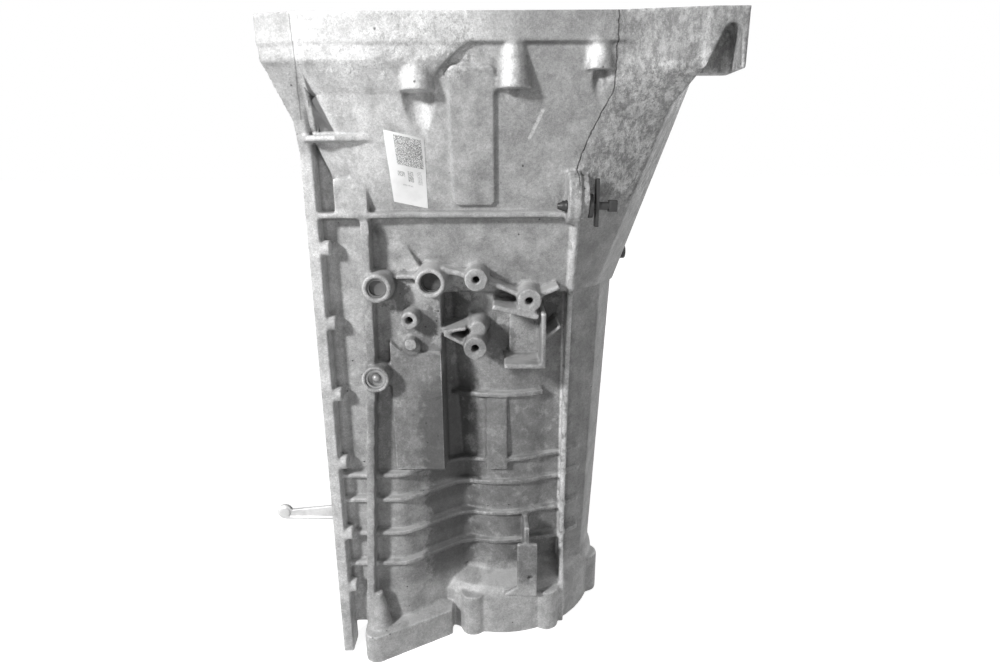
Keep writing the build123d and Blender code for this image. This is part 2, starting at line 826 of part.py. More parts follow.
# Lever that the shaft turns: a hub, a flanged arm and a rounded knob at its end
lever_tip_x = shaft_x - lever_reach
with BuildPart() as selector_lever:
    with Locations((shaft_x, lever_y, shaft_z)):
        Cylinder(lever_hub_r, lever_hub_length, rotation=(90, 0, 0))
    with BuildSketch(Plane.XZ.offset(-lever_y - lever_thickness / 2)):
        Polygon(
            (shaft_x - 4, shaft_z - lever_low - 2),
            (lever_tip_x + 9, shaft_z - lever_low + 1),
            (lever_tip_x + 14, shaft_z + 4),
            (shaft_x - 62, shaft_z + lever_high),
            (shaft_x - 4, shaft_z + lever_high + 2),
            align=None,
        )
        with Locations((lever_tip_x + 9.6, shaft_z + 1.4)):
            Circle(9.6)
    extrude(amount=lever_thickness)
    with BuildSketch(Plane.XZ.offset(-lever_y - lever_rail / 2)):
        Polygon(
            (shaft_x - 6, shaft_z - lever_low - 2),
            (lever_tip_x + 9, shaft_z - lever_low + 1),
            (lever_tip_x + 9, shaft_z - lever_low + 4),
            (shaft_x - 6, shaft_z - lever_low + 2),
            align=None,
        )
        with Locations((lever_tip_x + 9.6, shaft_z + 1.4)):
            Circle(7)
    extrude(amount=lever_rail)
    with Locations((shaft_x, lever_y, shaft_z)):
        Cylinder(shaft_r + press_clearance, 2 * lever_hub_length, rotation=(90, 0, 0), mode=Mode.SUBTRACT)
        Cylinder(roll_pin_r, 4 * lever_hub_r, mode=Mode.SUBTRACT)

# Rolled pin through the hub and the shaft
with BuildPart() as lever_roll_pin:
    with Locations((shaft_x, lever_y, shaft_z)):
        Cylinder(roll_pin_r - press_clearance, 2 * lever_hub_r - 1)
        Cylinder(roll_pin_r - 0.9, 2 * lever_hub_r, mode=Mode.SUBTRACT)
        with Locations((roll_pin_r, 0, 0)):
            Box(roll_pin_r * 2, 0.6, 2 * lever_hub_r, mode=Mode.SUBTRACT)

# Lip seal round the shaft in the far wall
with BuildPart() as shaft_seal:
    with Locations((shaft_x, shaft_boss_y - seal_length, shaft_z)):
        Cylinder(
            seal_r - press_clearance,
            seal_length,
            rotation=(-90, 0, 0),
            align=(Align.CENTER, Align.CENTER, Align.MIN),
        )
        Cylinder(
            shaft_r + shaft_clearance,
            seal_length,
            rotation=(-90, 0, 0),
            align=(Align.CENTER, Align.CENTER, Align.MIN),
            mode=Mode.SUBTRACT,
        )
    with Locations((shaft_x, shaft_boss_y, shaft_z)):
        Cylinder(seal_r - 2.5, 2, rotation=(90, 0, 0), mode=Mode.SUBTRACT)
        Cylinder(shaft_r + 1, 6, rotation=(90, 0, 0), mode=Mode.SUBTRACT)


def cup_plug(name, inset, dome_r):
    """A pressed cup, open to the outside, that closes a port of the near wall."""
    x, z, face_r, hole_r = ports[name]
    mouth = port_front - inset
    with Locations((x, -mouth, z)):
        Cylinder(
            hole_r - press_clearance,
            plug_length,
            rotation=(90, 0, 0),
            align=(Align.CENTER, Align.CENTER, Align.MAX),
        )
        Cylinder(
            hole_r - plug_wall,
            plug_length - plug_wall,
            rotation=(90, 0, 0),
            align=(Align.CENTER, Align.CENTER, Align.MAX),
            mode=Mode.SUBTRACT,
        )
    if dome_r:
        with Locations((x, -mouth + plug_length - plug_wall, z)):
            Sphere(dome_r)


with BuildPart() as port_plug_upper:
    cup_plug("upper", plug_inset[0], 0)
with BuildPart() as port_plug_centre:
    cup_plug("centre", plug_inset[1], 0)
with BuildPart() as pressure_plug:
    cup_plug("lower", plug_inset[0], pickup_r)

# Moulded clip pushed into the lug: barbed stem, flange, spring leaf and finger tab
lug_face_x = lug_x + lug_thickness + lug_ring
with BuildPart() as harness_clip:
    with Locations((lug_x - 5, -clip_y, clip_z)):
        Cylinder(
            clip_hole_r - press_clearance,
            lug_face_x - lug_x + 6,
            rotation=(0, 90, 0),
            align=(Align.CENTER, Align.CENTER, Align.MIN),
        )
    with Locations((lug_x - fit_gap, -clip_y, clip_z)):
        Cone(
            clip_hole_r + 0.8,
            clip_hole_r - 2.5,
            9,
            rotation=(0, -90, 0),
            align=(Align.CENTER, Align.CENTER, Align.MIN),
        )
    with Locations((lug_face_x + fit_gap, -clip_y, clip_z)):
        Cylinder(clip_flange_r, 4, rotation=(0, 90, 0), align=(Align.CENTER, Align.CENTER, Align.MIN))
        Cylinder(4, 22, rotation=(0, 90, 0), align=(Align.CENTER, Align.CENTER, Align.MIN))
    with Locations((lug_face_x + 8.5, -clip_y, clip_z + 3)):
        Box(3, 13, 46)
    with Locations((lug_face_x + 24, -clip_y, clip_z)):
        Box(8, 11, 11)
    fillet(harness_clip.edges().filter_by(Axis.X), radius=1.5)

# Breather cap on a short tube in the top side
with BuildPart() as vent_cap:
    with Locations((vent_seat_x - vent_plug, 0, vent_z)):
        Cylinder(
            vent_r - press_clearance,
            vent_plug + 4,
            rotation=(0, 90, 0),
            align=(Align.CENTER, Align.CENTER, Align.MIN),
        )
    with Locations((vent_seat_x + 3, 0, vent_z)):
        Cylinder(
            vent_cap_r,
            vent_cap_length,
            rotation=(0, 90, 0),
            align=(Align.CENTER, Align.CENTER, Align.MIN),
        )
    fillet(vent_cap.edges().filter_by(GeomType.CIRCLE).sort_by(Axis.X)[-1], radius=2)

# Paper tag stuck flat on the near face of the bell
with BuildPart() as paper_label:
    with BuildSketch(bell_face):
        Polygon(*label_corners, align=None)
    extrude(amount=label_thickness)

pieces = {
    "gearbox_case": gearbox_case,
    "rear_bush": rear_bush,
    "selector_shaft": selector_shaft,
    "selector_lever": selector_lever,
    "lever_roll_pin": lever_roll_pin,
    "shaft_seal": shaft_seal,
    "port_plug_upper": port_plug_upper,
    "port_plug_centre": port_plug_centre,
    "pressure_plug": pressure_plug,
    "harness_clip": harness_clip,
    "vent_cap": vent_cap,
    "paper_label": paper_label,
}
for name, piece in pieces.items():
    piece.part.label = name
    export_step(piece.part, f"parts/{name}.step")
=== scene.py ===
import math

import bmesh
import bpy
import numpy as np
from mathutils import Matrix, Vector


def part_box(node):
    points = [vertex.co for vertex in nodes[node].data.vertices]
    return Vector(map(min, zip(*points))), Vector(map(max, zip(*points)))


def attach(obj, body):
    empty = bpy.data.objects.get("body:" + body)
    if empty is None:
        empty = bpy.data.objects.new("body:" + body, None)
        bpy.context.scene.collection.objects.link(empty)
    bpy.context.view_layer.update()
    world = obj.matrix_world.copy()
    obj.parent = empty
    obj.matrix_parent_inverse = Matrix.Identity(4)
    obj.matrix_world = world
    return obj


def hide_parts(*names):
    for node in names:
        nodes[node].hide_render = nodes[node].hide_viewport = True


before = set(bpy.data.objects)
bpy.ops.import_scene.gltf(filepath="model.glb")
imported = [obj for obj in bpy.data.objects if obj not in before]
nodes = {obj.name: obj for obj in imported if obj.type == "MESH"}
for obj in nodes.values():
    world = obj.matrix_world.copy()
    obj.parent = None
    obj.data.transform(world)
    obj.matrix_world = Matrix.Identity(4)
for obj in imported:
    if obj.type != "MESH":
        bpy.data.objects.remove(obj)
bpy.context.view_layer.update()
scene = bpy.context.scene

# Camera, solved from the photo: the focal length is in pixels of a picture 1000 pixels wide
PHOTO_WIDTH = 1000
FOCAL_PIXELS = 600
SENSOR_MILLIMETRES = 36.0
PITCH_DOWN = math.radians(15.5)
ROLL = math.radians(0.3)
EYE = Vector((0.0, -0.7638, 0.572))
NEAREST_SEEN = 0.01
FARTHEST_SEEN = 100.0

# Lamps: name, place, height of the point on the shaft axis that it faces, side and power
LAMPS = (
    ("key", (-1.12, -1.30, 1.19), 0.42, 0.2, 33.0),
    ("fill", (1.4, -2.4, 1.0), 0.40, 1.6, 5.0),
    ("behind", (1.9, 1.9, 1.5), 0.40, 1.8, 26.0),
)

# World and floor. The floor's glow rises from FLOOR_GLOW to white between the two distances.
WHITE = 1.0
WORLD_LIGHT = 0.12
FLOOR_HALF = 30.0
FLOOR_GREY = 0.5
FLOOR_GLOW = 0.88
SHADOW_NEAR = 0.6
SHADOW_REACH = 1.5

# Meshes of the casting and the lever: voxel size, rounds of smoothing and most triangles
CASTING_MESH = (0.0016, 4, 185000)
LEVER_MESH = (0.0007, 3, 40000)
WELD_DISTANCE = 1e-6

# Degrees between two faces from which their edge stays sharp, and from which it gets a bevel
CASTING_SHARP = 50
LEVER_SHARP = 60
SMALL_PIECE_SHARP = 40
BEVEL_FROM = 35

# X of the casting's pan face, and how near a vertex is to a machined plane to be moved onto it
PAN_FACE = -0.193
PLANE_REACH = 0.0012

# The near side of the casting: Y where its marks start and are full, and Y just inside its wall
NEAR_SIDE = (-0.02, -0.05)
NEAR_WALL = -0.14

# Lines on the near face of the bell, as X and Z
JOINT_LINE = (
    (0.1025, 0.702), (0.1035, 0.636), (0.0935, 0.618),
    (0.0815, 0.591), (0.0754, 0.570), (0.0765, 0.555),
)
CORNER_LINE = ((-0.1775, 0.698), (-0.1765, 0.662), (-0.1823, 0.638), (-0.1852, 0.616))
RUB_MARK = ((0.029, 0.5987), (0.0405, 0.6219))

# The rough skin of the bell starts at X = slope * Z - offset, or at JOINT_RIGHT if that is less
JOINT_SLOPE = 0.426
JOINT_OFFSET = 0.167
JOINT_RIGHT = 0.103

# Corners of the shallow hollow beside the pan strip, as X and Z; the hollow is also darkened with
# painted shade
HOLLOW = ((-0.1735, 0.657), (-0.1765, 0.6040), (-0.1540, 0.6040))
HOLLOW_DEPTH = 0.006
HOLLOW_SOFT = 0.0022

# X of the bright flash line on the near side, and of the middle of the soft valley beside it, where
# shade is painted
FLASH_X = 0.077
VALLEY_X = -0.062

# How far the mottle moves the ragged edges of the tones, across and up
RAGGED_X = 0.07
RAGGED_Z = 0.08

# Regions of tone on the casting: grey value, strength, and where the region starts and is full
# along each direction that bounds it, in metres. The rough directions give it a ragged edge.
TONE_REGIONS = {
    "upper left of the near face": (0.70, 0.85, {"rough_z": (0.50, 0.60), "rough_x": (0.0, -0.13)}),
    "strip behind the pan flange": (0.46, 0.60, {"x": (-0.140, -0.150), "z": (0.60, 0.56)}),
    # Painted light: the next region lightens the pan flange's front and the shadow it casts on the
    # wall
    "edge of the pan flange": (0.62, 0.80, {"x": (-0.168, -0.174)}),
    "right end of the rim": (0.38, 1.00, {"rough_x": (0.085, 0.10), "rough_z": (0.645, 0.67)}),
    "right side of the barrel": (0.44, 0.70, {"x": (0.082, 0.090), "z": (0.50, 0.45)}),
}

# Spots start and are full at these squares of the distance from the centre, in half sizes
SPOT_EDGE = (1.35, 0.20)

# Y where the painted shade starts and is full, which keeps it off the bosses
PAINTED_SHADE_DEPTH = (-0.150, -0.145)

# Painted shade on the wall between the bosses: X and Z of the centre, half width, half height
PAINTED_SHADE_SPOTS = (
    (-0.108, 0.448, 0.012, 0.030),
    (-0.078, 0.405, 0.016, 0.024),
    (-0.048, 0.428, 0.018, 0.018),
    (-0.060, 0.338, 0.011, 0.026),
    (-0.002, 0.384, 0.018, 0.030),
    (0.056, 0.420, 0.013, 0.022),
)

# Painted highlights on the bosses under the rim: X and Z of the centre, half width, half height
PAINTED_HIGHLIGHT_SPOTS = (
    (-0.0770, 0.648, 0.012, 0.014),
    (-0.0705, 0.619, 0.008, 0.014),
    (0.0095, 0.656, 0.009, 0.024),
    (0.0835, 0.666, 0.009, 0.015),
)

# One corner of the tag in the X-Z plane, and its two edges from there
TAG_CORNER = (-0.1081, 0.6064)
TAG_ACROSS = (0.0376, -0.0081)
TAG_DOWN = (0.0030, -0.0670)
TAG_BEVEL = 0.0001

# Printed fields of the tag in shares of its edges: across from, to, down from, to, strength
TAG_FIELDS = (
    (0.22, 0.92, 0.03, 0.44, 0.75),
    (0.20, 0.40, 0.52, 0.60, 0.55),
    (0.46, 0.62, 0.50, 0.66, 0.65),
    (0.70, 0.84, 0.48, 0.68, 0.35),
    (0.30, 0.58, 0.70, 0.73, 0.40),
)
FIELD_SOFT_ACROSS = 0.02
FIELD_SOFT_DOWN = 0.01

# Metals of the fitted pieces: grey value, metallic, roughness, scale of the grain and warmth
METALS = {
    "shaft_steel": (0.62, 0.9, 0.32, 400.0, 0.0),
    "lever_steel": (0.80, 0.35, 0.5, 260.0, 0.0),
    # The two plug greys are dark as painted shade, for the shade inside the bores they close
    "plug_steel": (0.13, 0.15, 0.5, 350.0, 0.0),
    "plug_dark": (0.07, 0.15, 0.6, 350.0, 0.0),
    "pickup_metal": (0.34, 0.4, 0.38, 350.0, 0.0),
    "bush_metal": (0.50, 0.8, 0.35, 300.0, 0.16),
}

# Rubber and plastics of the fitted pieces: grey value and roughness
POLYMERS = {
    "seal_rubber": (0.03, 0.6),
    "clip_plastic": (0.025, 0.45),
    "cap_plastic": (0.04, 0.5),
}

# Small fitted pieces: CAD node, body, slot, material and bevel width
SMALL_PIECES = (
    ("rear_bush", "case", "bush_metal", "bush_metal", 0.0003),
    ("shaft_seal", "case", "seal_rubber", "seal_rubber", 0.0003),
    ("port_plug_upper", "case", "plug_steel", "plug_steel", 0.0005),
    ("port_plug_centre", "case", "plug_dark", "plug_dark", 0.0005),
    ("pressure_plug", "case", "plug_steel", "pickup_metal", 0.0004),
    ("harness_clip", "case", "clip_plastic", "clip_plastic", 0.0006),
    ("vent_cap", "case", "cap_plastic", "cap_plastic", 0.0004),
    ("selector_shaft", "selector", "shaft_steel", "shaft_steel", 0.0003),
    ("lever_roll_pin", "selector", "shaft_steel", "shaft_steel", 0.0002),
)


def grey(value, warm=0.0):
    """An opaque grey, a little towards red where warm is above 0."""
    return (value * (1 + warm), value, value * (1 - warm), 1.0)


class Wires:
    """A new material and its node tree, with short calls to build the tree."""

    def __init__(self, name):
        self.material = bpy.data.materials.new(name)
        self.material.use_nodes = True
        self.tree = self.material.node_tree
        self.tree.nodes.clear()
        self.out = self.node("OutputMaterial")
        self.shader = self.node("BsdfPrincipled")
        self.coord = self.node("TexCoord")
        self.put(self.out.inputs["Surface"], self.shader.outputs["BSDF"])

    def node(self, kind):
        return self.tree.nodes.new("ShaderNode" + kind)

    def put(self, socket, value):
        """Links a socket to another node's output, or sets it to a plain value."""
        if hasattr(value, "links"):
            self.tree.links.new(value, socket)
        else:
            socket.default_value = value

    def shade(self, name, value):
        """Puts a value on an input of the shader."""
        self.put(self.shader.inputs[name], value)

    def noise(self, scale, detail=4.0, rough=0.55, vector=None):
        node = self.node("TexNoise")
        node.inputs["Scale"].default_value = scale
        node.inputs["Detail"].default_value = detail
        node.inputs["Roughness"].default_value = rough
        self.put(node.inputs["Vector"], vector or self.coord.outputs["Object"])
        return node.outputs["Fac"]

    def cells(self, scale):
        """Distance to the middle of the nearest cell."""
        node = self.node("TexVoronoi")
        node.inputs["Scale"].default_value = scale
        self.put(node.inputs["Vector"], self.coord.outputs["Object"])
        return node.outputs["Distance"]

    def ramp(self, value, start, full, low=0.0, high=1.0):
        """A smooth step from low, where value is at start, to high, where it is at full."""
        node = self.node("MapRange")
        node.interpolation_type = "SMOOTHSTEP"
        self.put(node.inputs["Value"], value)
        node.inputs["From Min"].default_value = start
        node.inputs["From Max"].default_value = full
        node.inputs["To Min"].default_value = low
        node.inputs["To Max"].default_value = high
        return node.outputs["Result"]

    def math(self, kind, a, b=0.0, clamp=False):
        node = self.node("Math")
        node.operation = kind
        node.use_clamp = clamp
        self.put(node.inputs[0], a)
        self.put(node.inputs[1], b)
        return node.outputs[0]

    def plus(self, a, b):
        return self.math("ADD", a, b)

    def minus(self, a, b):
        return self.math("SUBTRACT", a, b)

    def times(self, first, *others):
        """The product of one or more values."""
        for other in others:
            first = self.math("MULTIPLY", first, other)
        return first

    def mix(self, share, a, b):
        """Colour a where the share is 0, colour b where it is 1."""
        node = self.node("Mix")
        node.data_type = "RGBA"
        self.put(node.inputs[0], share)
        self.put(node.inputs[6], a)
        self.put(node.inputs[7], b)
        return node.outputs[2]

    def tint(self, base, value, *shares):
        """The base colour with a grey laid over it by the product of the shares."""
        return self.mix(self.times(*shares), base, grey(value))

    def xyz(self):
        node = self.node("SeparateXYZ")
        self.put(node.inputs[0], self.coord.outputs["Object"])
        return node.outputs[0], node.outputs[1], node.outputs[2]

    def stretched(self, up):
        """The place with its Z made smaller, so that a noise on it is drawn out upwards."""
        node = self.node("Mapping")
        node.inputs["Scale"].default_value = (1.0, 1.0, up)
        self.put(node.inputs["Vector"], self.coord.outputs["Object"])
        return node.outputs["Vector"]

    def flat(self, wobble):
        """The place in the X-Z plane, moved a little across by a noise."""
        x, _, z = self.xyz()
        shift = self.times(self.minus(self.noise(140.0, 3.0), 0.5), wobble)
        node = self.node("CombineXYZ")
        self.put(node.inputs[0], self.plus(x, shift))
        self.put(node.inputs[2], z)
        return node.outputs[0]

    def vector(self, kind, a, b=None):
        node = self.node("VectorMath")
        node.operation = kind
        self.put(node.inputs[0], a)
        if b is not None:
            self.put(node.inputs[1], b)
        return node.outputs["Value" if kind in ("DOT_PRODUCT", "LENGTH") else "Vector"]

    def scaled(self, a, factor):
        node = self.node("VectorMath")
        node.operation = "SCALE"
        self.put(node.inputs[0], a)
        self.put(node.inputs["Scale"], factor)
        return node.outputs["Vector"]

    def off_line(self, points, wobble):
        """Distance to a slightly unsteady line through points of the X-Z plane."""
        place = self.flat(wobble)
        nearest = None
        for (ax, az), (bx, bz) in zip(points, points[1:]):
            run = (bx - ax, 0.0, bz - az)
            square = run[0] ** 2 + run[2] ** 2
            away = self.vector("SUBTRACT", place, (ax, 0.0, az))
            along = self.vector("DOT_PRODUCT", away, run)
            along = self.math("MULTIPLY", along, 1.0 / square, clamp=True)
            gap = self.vector("LENGTH", self.vector("SUBTRACT", away, self.scaled(run, along)))
            nearest = gap if nearest is None else self.math("MINIMUM", nearest, gap)
        return nearest

    def spot(self, x, z, centre_x, centre_z, half_width, half_height):
        """1 in an ellipse of the X-Z plane, with a soft edge."""
        across = self.times(self.minus(x, centre_x), 1.0 / half_width)
        up = self.times(self.minus(z, centre_z), 1.0 / half_height)
        square = self.plus(self.times(across, across), self.times(up, up))
        return self.ramp(square, *SPOT_EDGE)

    def within(self, x, z, corners, soft):
        """1 inside corners of the X-Z plane that run anticlockwise, with a soft edge."""
        sides = []
        for (ax, az), (bx, bz) in zip(corners, corners[1:] + corners[:1]):
            run = math.hypot(bx - ax, bz - az)
            across = self.times(self.minus(z, az), (bx - ax) / run)
            along = self.times(self.minus(x, ax), (bz - az) / run)
            sides.append(self.ramp(self.minus(across, along), 0.0, soft))
        return self.times(*sides)

    def facing_up(self, start, full):
        node = self.node("SeparateXYZ")
        self.put(node.inputs[0], self.coord.outputs["Normal"])
        return self.ramp(node.outputs[2], start, full)

    def edge(self, start, full):
        """Outer edges where full is above 0.5, inner corners where it is below."""
        return self.ramp(self.node("NewGeometry").outputs["Pointiness"], start, full)

    def bump(self, height, strength, distance, normal=None):
        node = self.node("Bump")
        node.inputs["Strength"].default_value = strength
        node.inputs["Distance"].default_value = distance
        self.put(node.inputs["Height"], height)
        if normal is not None:
            self.put(node.inputs["Normal"], normal)
        return node.outputs["Normal"]


class CastSkin(Wires):
    """The casting's material, with the places and noises that its marks share."""

    def __init__(self, name):
        super().__init__(name)
        self.x, self.y, self.z = self.xyz()
        self.near = self.ramp(self.y, *NEAR_SIDE)
        self.mottle = self.noise(70.0, 5.0, 0.65)
        self.cloud = self.noise(42.0, 5.0, 0.7)
        self.flow = self.noise(34.0, 4.0, 0.6, self.stretched(0.28))
        self.sand = self.noise(380.0, 4.0, 0.75)
        self.grain = self.noise(900.0, 2.0, 0.7)
        wobble = self.minus(self.mottle, 0.5)
        self.rough_x = self.plus(self.x, self.times(wobble, RAGGED_X))
        self.rough_z = self.plus(self.z, self.times(wobble, RAGGED_Z))

        # the lower part of the wall and the barrel, above the foot
        self.low = self.times(self.ramp(self.rough_z, 0.45, 0.37), self.ramp(self.z, 0.05, 0.09))

        # the two crusted parts of the bell: beyond the joint line, and left along the rim
        slope_x = self.minus(self.times(self.z, JOINT_SLOPE), JOINT_OFFSET)
        past_joint = self.minus(self.rough_x, self.math("MINIMUM", JOINT_RIGHT, slope_x))
        high = self.ramp(self.z, 0.50, 0.56)
        self.scab = self.times(self.ramp(past_joint, -0.02, 0.014), high, self.near)
        self.rim = self.ramp(self.rough_z, 0.655, 0.664)
        self.bright_rim = self.times(self.rim, self.ramp(self.rough_x, 0.02, -0.04))

    def region_tones(self):
        """Tones of the skin by region, with painted light on the pan flange's edge, stains, flow
        marks and mottle.
        """
        stains = self.noise(11.0, 5.0, 0.6)
        base = self.mix(self.ramp(stains, 0.35, 0.68), grey(0.42), grey(0.35))
        barrel_tone = self.mix(self.ramp(self.rough_z, 0.27, 0.33), grey(0.18), grey(0.26))
        wall_tone = self.mix(self.ramp(self.rough_z, 0.20, 0.26), grey(0.34), grey(0.19))
        low_tone = self.mix(self.ramp(self.rough_x, -0.06, -0.02), wall_tone, barrel_tone)
        base = self.mix(self.times(self.low, 0.85), base, low_tone)
        for value, strength, bounds in TONE_REGIONS.values():
            shares = [self.ramp(getattr(self, along), *ends) for along, ends in bounds.items()]
            base = self.tint(base, value, *shares, strength)
        off_flash = self.math("ABSOLUTE", self.minus(self.x, FLASH_X))
        below_bell = self.ramp(self.z, 0.55, 0.53)
        flash = self.times(self.ramp(off_flash, 0.0065, 0.0040), below_bell, self.near)
        base = self.tint(base, 0.72, flash, self.ramp(self.mottle, 0.30, 0.50, 0.3, 1.0), 0.85)
        foot = self.ramp(self.rough_z, 0.085, 0.065)
        base = self.tint(base, 0.48, foot, 0.7)
        base = self.tint(base, 0.22, self.ramp(self.flow, 0.5, 0.72), 0.35)
        base = self.tint(base, 0.58, self.ramp(self.mottle, 0.50, 0.68), 0.30)
        return self.tint(base, 0.18, self.ramp(self.mottle, 0.48, 0.32), 0.25)

    def crusted_bell(self, base):
        """Streaked rough skin beyond the joint line."""
        streaks = self.noise(150.0, 6.0, 0.85, self.stretched(0.55))
        crust = self.mix(self.ramp(streaks, 0.42, 0.58), grey(0.22), grey(0.62))
        return self.mix(self.times(self.scab, 0.72), base, crust)

    def pitted_rim(self, base):
        """Bright pitted skin along the left part of the rim, with the rim's darker ends."""
        right_part = self.ramp(self.rough_x, -0.02, 0.03)
        base = self.tint(base, 0.28, self.rim, right_part, 0.4)
        base = self.tint(base, 0.76, self.bright_rim, 0.75)
        left_end = self.times(self.ramp(self.x, -0.176, -0.180), self.ramp(self.z, 0.56, 0.60))
        base = self.tint(base, 0.47, left_end, 0.85)
        chips = self.ramp(self.noise(210.0, 6.0, 0.85), 0.47, 0.60)
        fewer_left = self.ramp(self.rough_x, -0.19, -0.03, 0.15, 1.0)
        return self.tint(base, 0.24, chips, self.bright_rim, fewer_left, 0.6)

    def spots(self, base):
        """Painted shade on the wall between the bosses, and painted highlights on the rim's bosses.
        """
        # painted shade: dark spots where shade falls between the bosses
        deep = self.times(self.ramp(self.y, *PAINTED_SHADE_DEPTH), self.near)
        cloudy_shade = self.ramp(self.cloud, 0.30, 0.55, 0.55, 0.75)
        for place in PAINTED_SHADE_SPOTS:
            spot = self.spot(self.rough_x, self.rough_z, *place)
            base = self.tint(base, 0.11, spot, deep, cloudy_shade)
        # painted highlights: bright spots where light falls on the bosses under the rim
        cloudy_highlight = self.ramp(self.cloud, 0.35, 0.6, 0.45, 0.75)
        for place in PAINTED_HIGHLIGHT_SPOTS:
            spot = self.spot(self.x, self.z, *place)
            base = self.tint(base, 0.82, spot, self.near, cloudy_highlight)
        return base

    def grained(self, base, pits):
        """Cloudy tone, sandy grain and pits."""
        base = self.scaled(base, self.ramp(self.cloud, 0.32, 0.68, 0.80, 1.18))
        base = self.scaled(base, self.ramp(self.sand, 0.30, 0.70, 0.85, 1.15))
        base = self.scaled(base, self.ramp(self.grain, 0.30, 0.70, 0.87, 1.13))
        return self.tint(base, 0.05, pits, 0.85)

    def wear_and_painted_light(self, base, worn_and_highlit):
        """Painted highlight on upward faces, bright edges of wear and painted highlight, painted
        shade in the valley, the hollow and the inner corners.
        """
        # painted highlight on the upward faces, broken up by a noise
        patchy_top_highlight = self.ramp(self.flow, 0.40, 0.58, 0.25, 1.0)
        base = self.tint(base, 0.68, self.facing_up(0.55, 0.90), patchy_top_highlight, 0.5)
        # bright outer edges: partly wear, partly painted highlight
        base = self.tint(base, 0.86, worn_and_highlit, 0.62)
        # painted shade along the valley, over its ribs too
        off_valley = self.math("ABSOLUTE", self.minus(self.rough_x, VALLEY_X))
        valley = self.times(self.ramp(off_valley, 0.038, 0.020), self.low, self.near)
        base = self.tint(base, 0.07, valley, self.ramp(self.z, 0.36, 0.32), 0.72)
        # painted shade in the pressed-in hollow
        hollow = self.within(self.x, self.z, HOLLOW, HOLLOW_SOFT)
        base = self.tint(base, 0.13, hollow, self.near, 0.92)
        # painted shade in the inner corners
        return self.tint(base, 0.10, self.edge(0.49, 0.43), 0.7)

    def lined(self, base, groove):
        """The corner line, the long rub mark and the dark joint line of the mould."""
        corner = self.ramp(self.off_line(CORNER_LINE, 0.001), 0.0009, 0.0004)
        base = self.tint(base, 0.22, corner, self.near, 0.75)
        rub = self.ramp(self.off_line(RUB_MARK, 0.002), 0.0022, 0.0010)
        sandy = self.ramp(self.sand, 0.3, 0.6, 0.3, 1.0)
        base = self.tint(base, 0.80, rub, self.near, sandy, 0.6)
        return self.tint(base, 0.03, groove, self.ramp(self.mottle, 0.35, 0.6, 0.95, 0.6))

    def relief(self, pits, groove):
        """Soft swell, sandy and crusted skin, fine grain, pits and the joint line's groove."""
        swell = self.bump(self.noise(45.0, 3.0, 0.5), 0.5, 0.0016)
        crust = self.times(self.plus(self.scab, self.bright_rim), self.noise(260.0, 5.0, 0.8))
        skin = self.bump(self.plus(self.sand, self.times(crust, 2.0)), 0.4, 0.0008, swell)
        fine = self.bump(self.grain, 0.35, 0.0004, skin)
        holes = self.bump(self.minus(1.0, pits), 0.8, 0.0006, fine)
        return self.bump(self.minus(1.0, groove), 1.0, 0.001, holes)


def cast_metal():
    """Die-cast aluminium: dull grey skin, sandy grain, stains, pits, bright edges of wear and
    painted highlight, painted shade in places.
    """
    w = CastSkin("cast_aluminium")
    pits = w.times(w.ramp(w.cells(88.0), 0.11, 0.06), w.ramp(w.noise(26.0, 2.0), 0.55, 0.62))
    broken = w.times(w.ramp(w.sand, 0.36, 0.60, 0.25, 1.0), w.ramp(w.mottle, 0.36, 0.56, 0.35, 1.0))
    # bright outer edges: partly wear, partly painted highlight
    worn_and_highlit = w.times(w.edge(0.52, 0.575), broken)
    joint = w.ramp(w.off_line(JOINT_LINE, 0.004), 0.0008, 0.0003)
    groove = w.times(joint, w.near, w.ramp(w.z, 0.55, 0.56))

    base = w.region_tones()
    base = w.crusted_bell(base)
    base = w.pitted_rim(base)
    base = w.spots(base)
    base = w.grained(base, pits)
    base = w.wear_and_painted_light(base, worn_and_highlit)
    base = w.lined(base, groove)
    w.shade("Base Color", base)
    w.shade("Metallic", 0.12)
    w.shade("Specular IOR Level", 0.3)
    w.shade("Roughness", w.minus(w.ramp(w.mottle, 0.3, 0.75, 0.42, 0.62), w.times(worn_and_highlit, 0.12)))
    w.shade("Normal", w.relief(pits, groove))
    return w.material


def plain_metal(name, value, metallic, rough, scale, warm):
    """Bare metal of one tone, a little cloudy, with brighter edges."""
    w = Wires(name)
    fine = w.noise(scale, 4.0, 0.6)
    cloud = w.noise(scale * 0.13, 4.0, 0.6)
    base = w.mix(w.ramp(cloud, 0.35, 0.7), grey(value, warm), grey(value * 0.72, warm))
    base = w.mix(w.times(w.edge(0.51, 0.57), 0.5), base, grey(min(1.0, value * 1.35), warm))
    w.shade("Base Color", base)
    w.shade("Metallic", metallic)
    w.shade("Roughness", w.ramp(fine, 0.3, 0.7, rough - 0.08, rough + 0.1))
    w.shade("Normal", w.bump(fine, 0.25, 0.0003))
    return w.material


def dull_polymer(name, value, rough):
    """Dark rubber or plastic with a little dust."""
    w = Wires(name)
    dust = w.noise(60.0, 4.0, 0.6)
    w.shade("Base Color", w.tint(grey(value), value + 0.12, w.ramp(dust, 0.45, 0.75), 0.35))
    w.shade("Roughness", w.ramp(dust, 0.3, 0.7, rough - 0.08, rough + 0.1))
    w.shade("Normal", w.bump(w.noise(600.0, 3.0, 0.6), 0.2, 0.0003))
    return w.material


def fitted_materials():
    """The materials of the lever and the small pieces, by name."""
    made = {name: plain_metal(name, *values) for name, values in METALS.items()}
    made.update({name: dull_polymer(name, *values) for name, values in POLYMERS.items()})
    return made


